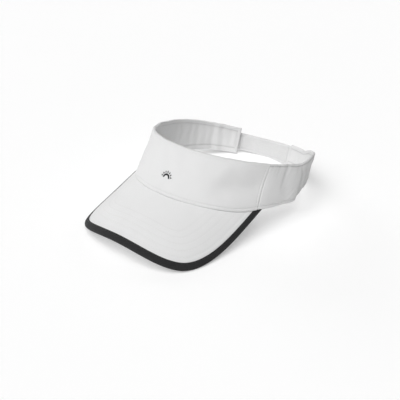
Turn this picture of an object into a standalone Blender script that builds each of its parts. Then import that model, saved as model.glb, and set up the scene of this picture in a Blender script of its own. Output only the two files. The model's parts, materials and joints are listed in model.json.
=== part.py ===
"""Sun visor: a peaked front on an open-topped head band that closes behind with a hook-and-loop strap.

The band is modelled upright, in its own frame: +X to the wearer's left, -Y forward, +Z up, with the
origin at the middle of the head oval, level with the seam that joins the bill to the front panel.
An empty then tips the whole visor back until it stands on the bill's two corners and on the rear of
the band, and moves the middle of its footprint to the world origin.

A place on the band is an angle round from the front (positive to the wearer's left), a height up the
wall from the seam, and a depth in from the outer face. A place on the bill is a distance across, a
distance forward of the band, and a depth below the upper face.
"""

import math

import bmesh
import bpy
from mathutils import Vector
from mathutils.geometry import interpolate_bezier

MM = 0.001

# The head oval. All lengths are millimetres and all angles degrees.
HALF_WIDTH = 87.2  # also the radius of the oval's rear half
FRONT_REACH = 114.2
OVAL_POWER = 2.1  # squareness of the front half, where 2 is an ellipse
FRONT_LEAN = 18.0
UPRIGHT_FROM = 115.0  # from this angle round, the wall no longer leans
TIP_BACK = 17.4  # the pose in which the visor stands on a table

# The band's edges.
SIDE_HEIGHT = 48.3
FRONT_RISE = 3.7
SIDE_SEAM_FOOT = 62.9
SIDE_SEAM_TOP = 67.6
BEND = 90.0  # where each rear panel flexes
LEFT_END = 164.0
RIGHT_END = 149.2
REAR_HEM_START = 2.4
LEFT_HEM = ((SIDE_SEAM_FOOT, REAR_HEM_START), (90.0, 8.0), (101.0, 19.0), (118.0, 23.2), (164.0, 19.6))
RIGHT_HEM = ((SIDE_SEAM_FOOT, REAR_HEM_START), (90.0, 8.0), (130.0, 14.6), (150.0, 15.4))
# The left rear panel's top edge stands up behind the ear, as rise above the even top edge.
LEFT_CREST = ((95.5, 0.0), (103.5, 5.2), (112.0, 6.3), (122.0, 5.8), (136.0, 4.4), (147.0, 0.0))

# Cloth and its layers, as depths in from the band's outer face.
GAP = 0.3
CLOTH = 0.8
HEM_WIDTH = 5.5
FRONT_FOLD_DEPTH = 2.4
REAR_FOLD_DEPTH = 1.5
INTERLINING = 0.5
INTERLINING_DEPTH = 1.4
INTERLINING_FOOT = 9.2
SWEATBAND = 1.0
FRONT_SWEATBAND_DEPTH = 3.45
REAR_SWEATBAND_DEPTH = 1.65
SWEATBAND_RISES_FROM = 56.0
SWEATBAND_THINS_FROM = 63.0
SWEATBAND_THINS_TO = 73.0
HALF_BUTT = 0.25  # half of the gap between two pieces that meet end to end, in degrees

# The bill.
BILL_DROOP = 33.6
BILL_FORWARD_RADIUS = 208.0
BILL_ARCH_RADIUS = 118.0
BILL_ARCH_STEEPENING = 4.15e-7
BILL_CORNER_DROOP = 6.8e-6
BILL_LENGTH = 52.7
BILL_CORNER = (65.2, 31.5)
BILL_CORNER_ANGLE = 40.9
BILL_END = 66.3  # the angle round the band at which the bill's edge reaches it
BILL_SIDE_FLARE = 0.4
BILL_HANDLES = (37.0, 26.8, 22.1, 28.5)  # from the band round to the front centre
COVER = 0.5
BOARD = 1.5
BINDING = 0.5
BINDING_WIDTH = 7.4
TOP_COVER_DEPTH = 1.05
BOARD_DEPTH = 2.35
UNDER_COVER_DEPTH = 3.85
BINDING_ROUND = 2.35
COVER_INSET = 2.5
BOARD_INSET = 1.4
ALLOWANCE = 8.0  # height of the bill covers' seam allowances inside the band
TOP_ALLOWANCE_DEPTH = 1.4
UNDER_ALLOWANCE_DEPTH = 2.4

# The closure.
STRAP = 1.2
STRAP_FOOT = 19.5
STRAP_ROOT_TOP = 43.6
STRAP_TOP = 39.5
STRAP_ROOT = (150.0, 164.4)
STRAP_FREE = (165.4, 245.0)
STRAP_NARROWS_TO = 200.0
STRAP_CLEARS_BY = 190.0
STRAP_ROOT_DEPTH = -0.9
STRAP_DEPTH = -3.5
STRAP_CORNER = 6.0
STRAP_HINGE = 164.9
HOOK = 0.7
HOOK_SPAN = (169.0, 242.0)
HOOK_UNDER_STRAP = 1.25
LOOP = 0.8
LOOP_SPAN = (-145.0, -100.0)
LOOP_DEPTH = -0.7
PATCH_MARGIN = 1.5
END_BINDING = 0.6

# The embroidered half sun on the front.
SUN_FOOT = 17.0
SUN_HOLLOW = 2.5
SUN_DISC = 5.0
SUN_POINT = 7.5
SUN_POINTS = 7
THREAD = 0.5
THREAD_DEPTH = -0.55

WHITE_CLOTH = ("white_cloth", (0.86, 0.86, 0.86, 1.0), 0.9)
LINING_CLOTH = ("lining_cloth", (0.80, 0.80, 0.80, 1.0), 0.9)
BLACK_TAPE = ("black_tape", (0.03, 0.03, 0.033, 1.0), 0.8)
BOARD_PLASTIC = ("board_plastic", (0.75, 0.75, 0.72, 1.0), 0.5)
HOOK_TAPE = ("hook_tape", (0.83, 0.83, 0.83, 1.0), 0.7)
BLACK_THREAD = ("black_thread", (0.04, 0.04, 0.045, 1.0), 0.6)


def mix(a, b, t):
    return a + (b - a) * t


def ease(t):
    """0 up to 0, 1 from 1, and a smooth rise between."""
    t = min(max(t, 0.0), 1.0)
    return t * t * (3 - 2 * t)


def along(points, x):
    """Smooth steps through (x, value) points."""
    for (x0, value0), (x1, value1) in zip(points, points[1:]):
        if x <= x1:
            return mix(value0, value1, ease((x - x0) / (x1 - x0)) * 0.5 + 0.5 * max(0.0, (x - x0) / (x1 - x0)))
    return points[-1][1]


# ---------------------------------------------------------------- the band's wall


def oval(angle):
    """The oval's point and its outward direction, as (x, y) pairs."""
    a = math.radians(angle)
    across, back = math.sin(a), -math.cos(a)
    power, reach = (OVAL_POWER, FRONT_REACH) if back < 0 else (2.0, HALF_WIDTH)
    x = HALF_WIDTH * math.copysign(abs(across) ** (2 / power), across)
    y = reach * math.copysign(abs(back) ** (2 / power), back)
    out_x = math.copysign(abs(x / HALF_WIDTH) ** (power - 1) / HALF_WIDTH, x)
    out_y = math.copysign(abs(y / reach) ** (power - 1) / reach, y)
    size = math.hypot(out_x, out_y)
    return (x, y), (out_x / size, out_y / size)


def lean(angle):
    turned = abs((angle + 180) % 360 - 180)
    share = min(turned / UPRIGHT_FROM, 1.0)
    return math.radians(FRONT_LEAN) * math.cos(share * math.pi / 2) ** 2


def wall(angle, height, depth):
    """A point of the band."""
    (x, y), (out_x, out_y) = oval(angle)
    tilt = lean(angle)
    inward = height * math.sin(tilt) + depth * math.cos(tilt)
    return Vector((x - out_x * inward, y - out_y * inward, height * math.cos(tilt) - depth * math.sin(tilt)))


def top_edge(angle):
    forward = math.cos(math.radians(angle))
    crest = along(LEFT_CREST, angle) if LEFT_CREST[0][0] < angle < LEFT_CREST[-1][0] else 0.0
    return SIDE_HEIGHT + FRONT_RISE * forward * abs(forward) + crest


def height_on_bill(angle, wall_depth, bill_depth):
    """Height up the wall at which a layer of the wall meets a layer of the bill."""
    height = 0.0
    for _ in range(6):
        point = wall(angle, height, wall_depth)
        forward = -FRONT_REACH - point.y
        across, ahead = bill_slopes(point.x, forward)
        level = bill_height(point.x, forward) - bill_depth * math.sqrt(1 + across**2 + ahead**2)
        height += (level - point.z) * 0.7
    return height


def seam_edge(angle):
    """Height of the front panel's lower edge, which rests on the bill."""
    return height_on_bill(angle, CLOTH / 2, -0.1)


def rear_hem(angle):
    """Height of the rear panels' lower edge."""
    return along(LEFT_HEM, angle) if angle > 0 else along(RIGHT_HEM, -angle)


def side_seam(height):
    """Angle of the side seam, which slopes back towards its top."""
    return mix(SIDE_SEAM_FOOT, SIDE_SEAM_TOP, height / SIDE_HEIGHT)


def fold(fold_depth, leg):
    """Section of a turned-over edge as (distance below the edge, depth) pairs, from the outer face in."""
    outer = CLOTH / 2
    radius = (fold_depth - outer) / 2
    points = []
    for step in range(5):
        turn = math.pi * step / 4
        points.append((CLOTH / 2 + radius * (1 - math.sin(turn)), outer + radius * (1 - math.cos(turn))))
    points.append((leg, fold_depth))
    return points


# ---------------------------------------------------------------- the bill's surface


def bill_height(x, forward):
    """Height of the bill's upper face."""
    curl = max(forward, 0.0) ** 2 / (2 * BILL_FORWARD_RADIUS)
    arch = x**2 / (2 * BILL_ARCH_RADIUS) + BILL_ARCH_STEEPENING * x**4
    corner_droop = BILL_CORNER_DROOP * x**2 * forward
    return -math.tan(math.radians(BILL_DROOP)) * forward - curl - arch - corner_droop


def bill_slopes(x, forward):
    across = -x / BILL_ARCH_RADIUS - 4 * BILL_ARCH_STEEPENING * x**3 - 2 * BILL_CORNER_DROOP * x * forward
    curl = max(forward, 0.0) / BILL_FORWARD_RADIUS
    ahead = -math.tan(math.radians(BILL_DROOP)) - curl - BILL_CORNER_DROOP * x**2
    return across, ahead


def bill(x, forward, depth):
    """A point of the bill."""
    across, ahead = bill_slopes(x, forward)
    size = math.sqrt(1 + across**2 + ahead**2)
    normal = Vector((-across, ahead, 1.0)) / size
    return Vector((x, -FRONT_REACH - forward, bill_height(x, forward))) - depth * normal


def above_on_bill(x, forward, depth):
    """The place on the bill from which that depth leads to the given point."""
    across, ahead = bill_slopes(x, forward)
    size = math.sqrt(1 + across**2 + ahead**2)
    return Vector((x - depth * across / size, forward - depth * ahead / size))


def bill_outline():
    """The bill's outer edge from the left end to the right, as (across, forward) points."""
    (x, y), _ = oval(BILL_END)
    flare, turn = math.radians(BILL_SIDE_FLARE), math.radians(BILL_CORNER_ANGLE)
    end, corner, front = Vector((x, -y - FRONT_REACH)), Vector(BILL_CORNER), Vector((0.0, BILL_LENGTH))
    leaving = Vector((math.sin(flare), math.cos(flare)))
    turning = Vector((-math.sin(turn), math.cos(turn)))
    first, second, third, fourth = BILL_HANDLES
    side = interpolate_bezier(end, end + leaving * first, corner - turning * second, corner, 40)
    nose = interpolate_bezier(corner, corner + turning * third, front + Vector((fourth, 0.0)), front, 40)
    half = side + nose[1:]
    return half + [Vector((-p.x, p.y)) for p in reversed(half[:-1])]


OUTLINE = bill_outline()


def outline_point(share, inset):
    """A point in from the bill's edge, where share runs 0 to 1 round the edge and inset is measured on the surface."""
    lengths = [0.0]
    for a, b in zip(OUTLINE, OUTLINE[1:]):
        lengths.append(lengths[-1] + (b - a).length)
    distance = share * lengths[-1]
    i = 0
    while i < len(lengths) - 2 and lengths[i + 1] < distance:
        i += 1
    part = (distance - lengths[i]) / (lengths[i + 1] - lengths[i])
    before, after = OUTLINE[max(i - 1, 0)], OUTLINE[min(i + 2, len(OUTLINE) - 1)]
    start, end = (OUTLINE[i + 1] - before).normalized(), (after - OUTLINE[i]).normalized()
    heading = start.lerp(end, part).normalized()
    inward = Vector((-heading.y, heading.x))
    point = OUTLINE[i].lerp(OUTLINE[i + 1], part)
    across, ahead = bill_slopes(*(point + inward * inset / 2))
    slope = across * inward.x + ahead * inward.y
    return point + inward * inset / math.sqrt(1 + slope**2)


def outside_band(point, clearance):
    """Whether a bill point is that far outside the band's outer face."""
    x, y = point.x, -FRONT_REACH - point.y
    reach = HALF_WIDTH + clearance, FRONT_REACH + clearance
    return abs(x / reach[0]) ** OVAL_POWER + abs(y / reach[1]) ** OVAL_POWER > 1 or y > 0


def first_share(inset, clearance):
    """How far round the edge a line at that inset comes out from under the band."""
    share = 0.0
    while not outside_band(outline_point(share, inset), clearance):
        share += 0.001
    return share


# ---------------------------------------------------------------- Blender objects


def clear_scene():
    for obj in list(bpy.data.objects):
        bpy.data.objects.remove(obj, do_unlink=True)


def new_collection(name):
    collection = bpy.data.collections.new(name)
    bpy.context.scene.collection.children.link(collection)
    return collection


def material(name, colour, roughness):
    made = bpy.data.materials.get(name) or bpy.data.materials.new(name)
    made.use_nodes = True
    shader = made.node_tree.nodes["Principled BSDF"]
    shader.inputs["Base Color"].default_value = colour
    shader.inputs["Roughness"].default_value = roughness
    shader.inputs["Metallic"].default_value = 0.0
    return made


def hinge_empty(name, place, parent, collection):
    """An empty on a joint's axis. Its own place in the band's frame is kept for the pieces it carries."""
    empty = bpy.data.objects.new(name, None)
    empty["place"] = place
    collection.objects.link(empty)
    if parent:
        empty.parent = parent
        place = place - Vector(parent["place"])
    empty.location = place * MM
    return empty


def sheets(name, patches, thickness, look, parent, collection):
    """One object of one or more curved sheets, thickened evenly about their middle surface.

    Each patch is (columns, rows, place), where place turns a share across and a share up into a point
    of the band's frame.
    """
    mesh = bpy.data.meshes.new(name)
    shape = bmesh.new()
    for columns, rows, place in patches:
        made = bmesh.ops.create_grid(shape, x_segments=columns, y_segments=rows, size=0.5)
        for vert in made["verts"]:
            vert.co = (place(vert.co.x + 0.5, vert.co.y + 0.5) - Vector(parent["place"])) * MM
    shape.to_mesh(mesh)
    shape.free()
    mesh.shade_smooth()
    mesh.set_sharp_from_angle(angle=math.radians(40))
    obj = bpy.data.objects.new(name, mesh)
    obj.parent = parent
    obj.data.materials.append(material(*look))
    collection.objects.link(obj)
    solidify = obj.modifiers.new("thickness", "SOLIDIFY")
    solidify.thickness = thickness * MM
    solidify.offset = 0.0
    solidify.use_even_offset = True
    return obj


# ---------------------------------------------------------------- the band's pieces


def band_panel(name, start, end, foot, folds, columns, parent, collection):
    """A panel from the angle start(height) to end(height), hemmed at its top and, if folds has two depths, at its foot."""
    top_fold = [("top", below, depth) for below, depth in fold(folds[0], HEM_WIDTH)]
    if len(folds) > 1:
        low = [("foot", above, depth) for above, depth in reversed(fold(folds[1], HEM_WIDTH))]
    else:
        low = [("foot", 0.0, CLOTH / 2)]
    middle = [("share", share, CLOTH / 2) for share in (0.35, 0.65)]
    section = low + middle + top_fold

    def place(u, v):
        edge, distance, depth = section[round(v * (len(section) - 1))]
        angle = mix(start(0.0), end(0.0), u)
        for _ in range(3):
            low_edge, high_edge = foot(angle), top_edge(angle)
            height = {
                "foot": low_edge + distance,
                "top": high_edge - distance,
                "share": mix(low_edge, high_edge, distance),
            }[edge]
            angle = mix(start(height), end(height), u)
        return wall(angle, height, depth)

    return sheets(name, [(columns, len(section) - 1, place)], CLOTH, WHITE_CLOTH, parent, collection)


def build_front(root, collection):
    band_panel(
        "front_panel",
        lambda height: HALF_BUTT - side_seam(height),
        lambda height: side_seam(height) - HALF_BUTT,
        seam_edge,
        (FRONT_FOLD_DEPTH,),
        30,
        root,
        collection,
    )

    def interlining(u, v):
        angle = mix(-SIDE_SEAM_FOOT, SIDE_SEAM_FOOT, mix(0.015, 0.985, u))
        return wall(angle, mix(INTERLINING_FOOT, top_edge(angle) - FRONT_FOLD_DEPTH, v), INTERLINING_DEPTH)

    sheets("front_interlining", [(22, 3, interlining)], INTERLINING, LINING_CLOTH, root, collection)


def sweatband_depth(angle):
    thinned = ease((abs(angle) - SWEATBAND_THINS_FROM) / (SWEATBAND_THINS_TO - SWEATBAND_THINS_FROM))
    return mix(FRONT_SWEATBAND_DEPTH, REAR_SWEATBAND_DEPTH, thinned)


def build_sweatband(name, start, end, columns, parent, collection):
    clear = HEM_WIDTH + 4 * GAP

    def place(u, v):
        angle = mix(start, end, u)
        sewn = ease((abs(angle) - SWEATBAND_RISES_FROM) / (SWEATBAND_THINS_FROM - SWEATBAND_RISES_FROM))
        foot = mix(seam_edge(angle) + 1.0, rear_hem(angle) + clear, sewn)
        return wall(angle, mix(foot, top_edge(angle) - clear, v), sweatband_depth(angle))

    sheets(name, [(columns, 3, place)], SWEATBAND, LINING_CLOTH, parent, collection)


def build_side(side, root, rear, collection):
    """The side and rear panels of one side, which are one cloth that flexes at the bend, and their sweatband."""
    word = "left" if side > 0 else "right"
    end = LEFT_END if side > 0 else RIGHT_END
    folds = (REAR_FOLD_DEPTH, REAR_FOLD_DEPTH)
    before, after = side * (BEND - HALF_BUTT), side * (BEND + HALF_BUTT)
    band_panel(
        f"{word}_side_panel",
        lambda height: side * (side_seam(height) + HALF_BUTT),
        lambda height: before,
        rear_hem,
        folds,
        6,
        root,
        collection,
    )
    band_panel(
        f"{word}_rear_panel",
        lambda height: after,
        lambda height: side * end,
        rear_hem,
        folds,
        16,
        rear,
        collection,
    )
    build_sweatband(f"{word}_rear_sweatband", after, side * (end - 1.0), 16, rear, collection)


def build_end_binding(rear, collection):
    """The tape that closes the right rear panel's cut end, folded round both faces."""
    outer, inner = -GAP - END_BINDING / 2, REAR_SWEATBAND_DEPTH + SWEATBAND / 2 + GAP + END_BINDING / 2
    middle, radius = (outer + inner) / 2, (inner - outer) / 2
    legs = HEM_WIDTH - 1.0
    section = [(-legs, outer)]
    for step in range(5):
        turn = math.pi * step / 4
        section.append((radius * math.sin(turn), middle - radius * math.cos(turn)))
    section.append((-legs, inner))
    arc = 180 / (math.pi * HALF_WIDTH)

    def place(u, v):
        beyond, depth = section[round(u * (len(section) - 1))]
        angle = -(RIGHT_END + 0.3 + beyond * arc)
        return wall(angle, mix(rear_hem(-RIGHT_END), top_edge(RIGHT_END), v), depth)

    sheets("right_end_binding", [(len(section) - 1, 3, place)], END_BINDING, WHITE_CLOTH, rear, collection)


# ---------------------------------------------------------------- the bill's pieces


def bill_cover(name, depth, allowance_depth, root, collection):
    """A bill cover from its outer edge in to the band and up behind the front panel."""
    first = first_share(COVER_INSET, 1.5)
    last_angle = SIDE_SEAM_FOOT - 3.0
    rows, allowance_rows = 10, 2

    def place(u, v):
        row = round(v * rows)
        angle = mix(last_angle, -last_angle, u)
        foot = height_on_bill(angle, allowance_depth, depth)
        if row <= allowance_rows:
            return wall(angle, mix(foot + ALLOWANCE, foot, row / allowance_rows), allowance_depth)
        turn = wall(angle, foot, allowance_depth)
        inner = above_on_bill(turn.x, -turn.y - FRONT_REACH, depth)
        outer = outline_point(mix(first, 1 - first, u), COVER_INSET)
        point = inner.lerp(outer, (row - allowance_rows) / (rows - allowance_rows))
        return bill(point.x, point.y, depth)

    sheets(name, [(34, rows, place)], COVER, WHITE_CLOTH, root, collection)


def build_board(root, collection):
    first = first_share(BOARD_INSET, 2.5)
    last_angle = SIDE_SEAM_FOOT - 6.0

    def place(u, v):
        (x, y), (out_x, out_y) = oval(mix(last_angle, -last_angle, u))
        inner = above_on_bill(x + out_x * 0.3, -(y + out_y * 0.3) - FRONT_REACH, BOARD_DEPTH)
        point = inner.lerp(outline_point(mix(first, 1 - first, u), BOARD_INSET), v)
        return bill(point.x, point.y, BOARD_DEPTH)

    sheets("bill_board", [(34, 8, place)], BOARD, BOARD_PLASTIC, root, collection)


def build_bill_binding(root, collection):
    """The tape folded round the bill's edge, running in under the band at both ends."""
    outer, inner = BINDING / 2, 2 * BINDING_ROUND + BINDING / 2
    middle = outer + BINDING_ROUND
    section = [(BINDING_WIDTH, outer), (BINDING_WIDTH / 2 + middle / 2, outer)]
    for step in range(7):
        turn = math.pi * step / 6
        section.append((middle - BINDING_ROUND * math.sin(turn), middle - BINDING_ROUND * math.cos(turn)))
    section += [(BINDING_WIDTH / 2 + middle / 2, inner), (BINDING_WIDTH, inner)]
    firsts = [first_share(inset, 1.0) for inset, _ in section]

    def place(u, v):
        i = round(v * (len(section) - 1))
        inset, depth = section[i]
        point = outline_point(mix(firsts[i], 1 - firsts[i], u), inset)
        return bill(point.x, point.y, depth)

    sheets("bill_binding", [(44, len(section) - 1, place)], BINDING, BLACK_TAPE, root, collection)


# ---------------------------------------------------------------- the closure


def strap_depth(angle):
    start = STRAP_FREE[0]
    return mix(STRAP_ROOT_DEPTH, STRAP_DEPTH, ease((angle - start) / (STRAP_CLEARS_BY - start)))


def strap_top(angle):
    return mix(STRAP_ROOT_TOP, STRAP_TOP, ease((angle - STRAP_ROOT[0]) / (STRAP_NARROWS_TO - STRAP_ROOT[0])))


def corner_cut(angle):
    """How far the strap's rounded corners come in at this angle."""
    left = (STRAP_FREE[1] - angle) * math.pi / 180 * HALF_WIDTH
    if left >= STRAP_CORNER:
        return 0.0
    return STRAP_CORNER - math.sqrt(max(STRAP_CORNER**2 - (STRAP_CORNER - left) ** 2, 0.0))


def build_closure(left_rear, right_rear, strap, collection):
    def root_place(u, v):
        angle = mix(*STRAP_ROOT, u)
        return wall(angle, mix(STRAP_FOOT, strap_top(angle), v), STRAP_ROOT_DEPTH)

    def strap_place(u, v):
        angle = mix(*STRAP_FREE, 1 - (1 - u) ** 1.25)
        cut = corner_cut(angle)
        return wall(angle, mix(STRAP_FOOT + cut, strap_top(angle) - cut, v), strap_depth(angle))

    def hook_place(u, v):
        angle = mix(*HOOK_SPAN, u)
        foot, top = STRAP_FOOT + PATCH_MARGIN, strap_top(angle) - PATCH_MARGIN
        return wall(angle, mix(foot, top, v), strap_depth(angle) + HOOK_UNDER_STRAP)

    def loop_place(u, v):
        foot, top = STRAP_FOOT + PATCH_MARGIN, STRAP_TOP - PATCH_MARGIN
        return wall(mix(*LOOP_SPAN, u), mix(foot, top, v), LOOP_DEPTH)

    sheets("strap_root", [(5, 2, root_place)], STRAP, WHITE_CLOTH, left_rear, collection)
    sheets("closure_strap", [(30, 3, strap_place)], STRAP, WHITE_CLOTH, strap, collection)
    sheets("hook_patch", [(20, 2, hook_place)], HOOK, HOOK_TAPE, strap, collection)
    sheets("loop_patch", [(16, 2, loop_place)], LOOP, HOOK_TAPE, right_rear, collection)


# ---------------------------------------------------------------- the embroidery


def build_embroidery(root, collection):
    """A half sun, pointed all round: a raised block of thread on the front panel."""
    degrees = 180 / (math.pi * FRONT_REACH) * 1.35

    def place(u, v):
        turn = math.pi * u
        pointed = abs(2 * ((u * SUN_POINTS) % 1.0) - 1)
        radius = mix(SUN_HOLLOW, mix(SUN_POINT, SUN_DISC, pointed), v)
        return wall(-radius * math.cos(turn) * degrees, SUN_FOOT + radius * math.sin(turn), THREAD_DEPTH)

    sheets("front_embroidery", [(4 * SUN_POINTS, 1, place)], THREAD, BLACK_THREAD, root, collection)


# ---------------------------------------------------------------- assembly


def stand_on_table(frame):
    """Moves the visor so that it rests on Z = 0 with the middle of its footprint at the origin."""
    bpy.context.view_layer.update()
    graph = bpy.context.evaluated_depsgraph_get()
    corners = []
    for obj in bpy.data.objects:
        if obj.type != "MESH":
            continue
        evaluated = obj.evaluated_get(graph)
        corners += [evaluated.matrix_world @ vert.co for vert in evaluated.data.vertices]
    ahead = min(p.y for p in corners)
    behind = max(p.y for p in corners)
    frame.location = (0.0, -(ahead + behind) / 2, -min(p.z for p in corners))
    bpy.context.view_layer.update()


def build():
    clear_scene()
    visor = new_collection("sun_visor")
    root = hinge_empty("visor_frame", Vector((0.0, 0.0, 0.0)), None, visor)
    root.rotation_euler = (math.radians(-TIP_BACK), 0.0, 0.0)
    bend_radius = HALF_WIDTH - REAR_FOLD_DEPTH / 2
    left_rear = hinge_empty("left_rear_bend", Vector((bend_radius, 0.0, 0.0)), root, visor)
    right_rear = hinge_empty("right_rear_bend", Vector((-bend_radius, 0.0, 0.0)), root, visor)
    strap = hinge_empty("strap_bend", wall(STRAP_HINGE, STRAP_FOOT, STRAP_ROOT_DEPTH), left_rear, visor)

    build_front(root, visor)
    build_sweatband("front_sweatband", HALF_BUTT - BEND, BEND - HALF_BUTT, 40, root, visor)
    build_side(1, root, left_rear, visor)
    build_side(-1, root, right_rear, visor)
    build_end_binding(right_rear, visor)
    build_board(root, visor)
    bill_cover("bill_top_cover", TOP_COVER_DEPTH, TOP_ALLOWANCE_DEPTH, root, visor)
    bill_cover("bill_under_cover", UNDER_COVER_DEPTH, UNDER_ALLOWANCE_DEPTH, root, visor)
    build_bill_binding(root, visor)
    build_closure(left_rear, right_rear, strap, visor)
    build_embroidery(root, visor)
    stand_on_table(root)


build()
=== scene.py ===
"""Sun visor: sewn cloth band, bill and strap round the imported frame, in the frame's metres.

Cloth is laid out in millimetres in the band's own upright frame (+X to the wearer's left, -Y forward,
+Z up, origin at the middle of the head oval, level with the bill's seam) and then tipped back onto
the floor with the frame. A place on the band is an angle round from the front (positive to the
wearer's left), a height up the wall and a depth in from its outer face. A place on the bill is a
distance across, a distance forward of the band and a depth below its upper face.
"""

import json
import math

import bpy
import numpy as np
from mathutils import Matrix, Vector


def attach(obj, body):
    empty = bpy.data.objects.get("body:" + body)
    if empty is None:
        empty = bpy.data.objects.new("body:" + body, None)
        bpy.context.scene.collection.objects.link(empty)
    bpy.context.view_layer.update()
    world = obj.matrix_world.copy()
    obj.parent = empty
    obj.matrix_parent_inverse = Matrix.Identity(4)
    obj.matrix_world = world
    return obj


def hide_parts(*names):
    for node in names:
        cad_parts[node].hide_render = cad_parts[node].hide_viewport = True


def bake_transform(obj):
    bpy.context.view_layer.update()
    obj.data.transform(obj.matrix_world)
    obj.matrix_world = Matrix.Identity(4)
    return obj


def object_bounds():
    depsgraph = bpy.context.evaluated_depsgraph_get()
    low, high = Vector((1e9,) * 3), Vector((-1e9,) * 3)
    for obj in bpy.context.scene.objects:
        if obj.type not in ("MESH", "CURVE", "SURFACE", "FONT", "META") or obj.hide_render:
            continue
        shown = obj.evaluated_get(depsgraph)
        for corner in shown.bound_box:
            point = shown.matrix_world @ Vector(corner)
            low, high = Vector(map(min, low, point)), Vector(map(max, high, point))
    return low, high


MM = 0.001

# The band, in millimetres and degrees.
HALF_WIDTH = 87.2
FRONT_REACH = 114.2
MEAN_RADIUS = 95.0  # turns a share of the oval into millimetres
OVAL_POWER = 2.1
FRONT_LEAN = 18.0
UPRIGHT_FROM = 115.0
SIDE_HEIGHT = 48.3
FRONT_RISE = 3.7
SIDE_SEAM_FOOT = 62.9
SIDE_SEAM_TOP = 67.6
LEFT_END = 164.0
RIGHT_END = 149.2
# (angle, height) points of the lower hems, and how far the left top edge rises at an angle.
LEFT_HEM = ((SIDE_SEAM_FOOT, 2.4), (90.0, 8.0), (101.0, 19.0), (118.0, 23.2), (164.0, 19.6))
RIGHT_HEM = ((SIDE_SEAM_FOOT, 2.4), (90.0, 8.0), (130.0, 14.6), (150.0, 15.4))
LEFT_CREST = ((90.0, 0.0), (97.0, 1.9), (104.0, 5.0), (112.0, 6.3), (122.0, 5.8), (136.0, 4.4), (147.0, 0.0))
MID_HEIGHT = 24.0

# Sheets: their thicknesses, and how deep the middles of the inner ones lie under the band's outer face.
CLOTH = 0.8
FRONT_FACING = 0.6
REAR_FACING = 0.5
FACING_DEPTH = 2.9
INTERLINING = 0.4
INTERLINING_DEPTH = 1.75
FRONT_FOLD_DEPTH = 3.7  # of the turned-in leg at the front panel's top edge
FRONT_FOOT_DEPTH = 1.9
REAR_FOLD_DEPTH = 2.2
END_TAPE = 0.55

# Threads and the lines that they follow, as distances in from the nearest edge.
THREAD = 0.34
FINE_THREAD = 0.3
BINDING_THREAD = 0.32
SATIN_THREAD = 0.36
SUNK_IN = 0.02  # how deep a thread's foot lies in the cloth
FOOT_STITCH = 3.3
SIDE_STITCH = 2.9
FRONT_RIM_STITCH = 2.3
REAR_RIM_STITCH = 1.75

# The bill, in millimetres and degrees.
BILL_DROOP = 33.6
BILL_FORWARD_RADIUS = 208.0
BILL_ARCH_RADIUS = 118.0
BILL_ARCH_STEEPENING = 4.15e-7
BILL_CORNER_DROOP = 6.8e-6
BILL_LENGTH = 52.7
BILL_CORNER = (65.2, 31.5)
BILL_CORNER_ANGLE = 40.9
BILL_END = 66.3
BILL_SIDE_FLARE = 0.4
BILL_HANDLES = (37.0, 26.8, 22.1, 28.5)  # of its outline's curves, from the band round to the front
COVER = 0.5
COVER_INSET = 3.0  # of the covers' edges, inside the binding
COVER_TUCK = 2.6  # how far the covers run in under the band
TOP_COVER_DEPTH = 0.80
UNDER_COVER_DEPTH = 4.0
BINDING = 0.5
BINDING_WIDTH = 7.0
BINDING_ROUND = 2.35
BINDING_BULGE = 0.28
BINDING_STITCH = BINDING_WIDTH - 1.3
STITCH_PITCH = 6.0
STITCH_ROWS = tuple(12.0 + STITCH_PITCH * row for row in range(5))

# The strap and the hook and loop tapes: spans in degrees, heights and depths in millimetres.
STRAP = 1.1
STRAP_FOOT = 19.5
STRAP_ROOT_TOP = 43.9
STRAP_TOP = 39.5
STRAP_ROOT = (149.0, 165.0)
STRAP_FREE = (164.6, 245.0)
STRAP_ROOT_DEPTH = -0.75
STRAP_DEPTH = -3.4
STRAP_CLEARS_BY = 190.0
STRAP_NARROWS_TO = 200.0
STRAP_CORNER = 6.0
STRAP_STITCH = 0.58  # how far the threads' feet stand off the strap's middle
HOOK_SPAN = (167.5, 242.0)
HOOK = 0.4
LOOP_SPAN = (-146.0, -99.0)
LOOP = 0.7
LOOP_DEPTH = -0.65

# The embroidered half sun, in millimetres.
SUN_HEIGHT = 17.0
SUN_RING = (2.4, 4.6)
SUN_RAYS = 7
RAY_SPAN = (5.3, 7.7)
RAY_HALF_WIDTH = 0.95

# The camera, in degrees and metres, with its lens in millimetres.
CAMERA_AZIMUTH = 38.43
CAMERA_ELEVATION = 28.02
CAMERA_DISTANCE = 0.829
CAMERA_LENS = 69.3127
AIM_LEFT = 0.018353  # of the middle of the object, as seen from the camera
AIM_DOWN = 0.039139

# Each light's name, azimuth, elevation, softness and strength; azimuth 0 is the front, positive to the
# wearer's left.
LIGHTS = (
    ("key", 2.0, 57.0, 60.0, 0.66),
    ("fill", 25.0, 72.0, 60.0, 0.32),
    ("side", -100.0, 15.0, 30.0, 0.22),
)


# ---------- small maths


def ease(t):
    t = np.clip(t, 0.0, 1.0)
    return t * t * (3 - 2 * t)


def hill(x, middle, width):
    """A smooth bump of height 1."""
    return np.exp(-(((x - middle) / width) ** 2))


def between(x, start, rise, stop, fall):
    """Rises smoothly from 0 to 1 from start on, and back to 0 from stop on."""
    return ease((x - start) / rise) * (1 - ease((x - stop) / fall))


def ripple(x, seed, lengths):
    """A smooth, fixed, uneven wave of unit size, as a sum of sines."""
    total = 0.0
    for i, length in enumerate(lengths):
        total = total + np.sin(2 * math.pi * x / length + seed * (1.7 + i) + i * i)
    return total / len(lengths)


def steps(points, x):
    """Smooth steps through (x, value) points."""
    result = np.full(np.shape(x), float(points[0][1]))
    for (x0, value0), (x1, value1) in zip(points, points[1:]):
        t = np.clip((x - x0) / (x1 - x0), 0.0, 1.0)
        result = np.where(x >= x0, value0 + (value1 - value0) * (0.5 * ease(t) + 0.5 * t), result)
    return result


# ---------- the band's wall


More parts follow.
